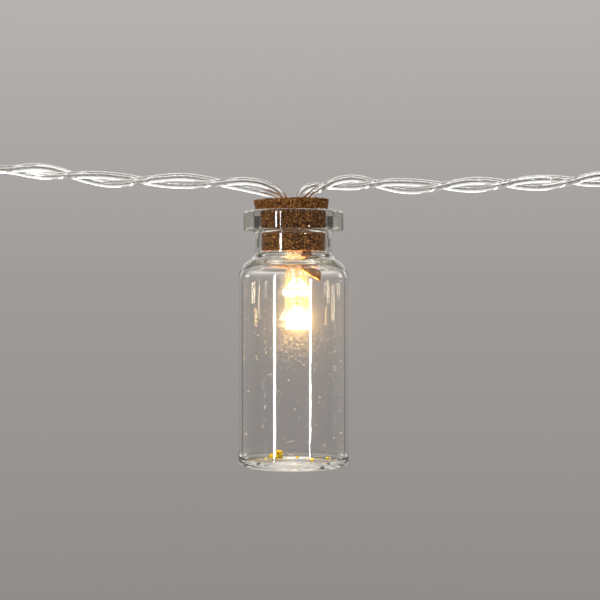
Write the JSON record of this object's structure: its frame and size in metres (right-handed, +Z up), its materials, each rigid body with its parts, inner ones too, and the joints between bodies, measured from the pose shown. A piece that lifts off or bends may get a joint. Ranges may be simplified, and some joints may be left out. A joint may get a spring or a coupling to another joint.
{
  "type": "fairy light jar",
  "caption": "Small corked glass vial hung from a clear twisted cord with a warm lamp inside; the jar swings on the cord, turns on its wires and pulls off the cork.",
  "frame": {"origin": "where the line of the taut cord crosses the axis of the jar, 3.2 mm above the top of the cork", "axes": "+Z up along the axis of the jar, which hangs down -Z; +X along the cord towards the socket; -Y towards the viewer of the picture"},
  "size_m": [0.1608, 0.022, 0.0625],
  "materials": {
    "clear_insulation": "clear, smooth, softly glossy",
    "tinned_core": "fine tinned copper strands",
    "clear_plastic": "clear moulded plastic",
    "contact_metal": "polished",
    "clear_sleeve": "clear shrunk sleeve",
    "solder": "bright solder",
    "lead_frame": "tinned",
    "phosphor": "glowing warm white",
    "lamp_epoxy": "clear epoxy, lit from inside",
    "agglomerated_cork": "granular pressed cork",
    "clear_glass": "clear, polished",
    "cork_crumb": "loose granules"
  },
  "bodies": {
    "cord": {"left_cord_a": "clear_insulation", "left_cord_b": "clear_insulation", "right_cord_a": "clear_insulation", "right_cord_b": "clear_insulation", "left_core_a": "tinned_core", "left_core_b": "tinned_core", "right_core_a": "tinned_core", "right_core_b": "tinned_core", "plug_strain_relief": "clear_plastic", "plug_shell": "clear_plastic", "plug_pin_a": "contact_metal", "plug_pin_b": "contact_metal", "socket_strain_relief": "clear_plastic", "socket_shell": "clear_plastic", "socket_contact_a": "contact_metal", "socket_contact_b": "contact_metal"},
    "lamp": {"left_drop_wire_a": "clear_insulation", "left_drop_wire_b": "clear_insulation", "right_drop_wire_a": "clear_insulation", "right_drop_wire_b": "clear_insulation", "left_drop_core_a": "tinned_core", "left_drop_core_b": "tinned_core", "right_drop_core_a": "tinned_core", "right_drop_core_b": "tinned_core", "joint_sleeve": "clear_sleeve", "anode_solder": "solder", "cathode_solder": "solder", "anode_lead": "lead_frame", "cathode_lead": "lead_frame", "light_chip": "phosphor", "lamp_lens": "lamp_epoxy"},
    "cork": {"cork_stopper": "agglomerated_cork"},
    "jar": {"glass_jar": "clear_glass", "crumb_clump": "cork_crumb", "loose_crumb_1": "cork_crumb", "loose_crumb_2": "cork_crumb", "loose_crumb_3": "cork_crumb"}
  },
  "joints": [
    {"name": "jar_swing", "type": "hinge", "parent": "cord", "child": "lamp", "pos_m": [0, 0, 0], "axis": [1, 0, 0], "range_deg": [-35, 35]},
    {"name": "cork_turn", "type": "hinge", "parent": "lamp", "child": "cork", "pos_m": [0, 0, 0], "axis": [0, 0, 1], "range_deg": [-90, 90]},
    {"name": "jar_pull_off", "type": "slide", "parent": "cork", "child": "jar", "axis": [0, 0, -1], "range_m": [0, 0.028]}
  ]
}
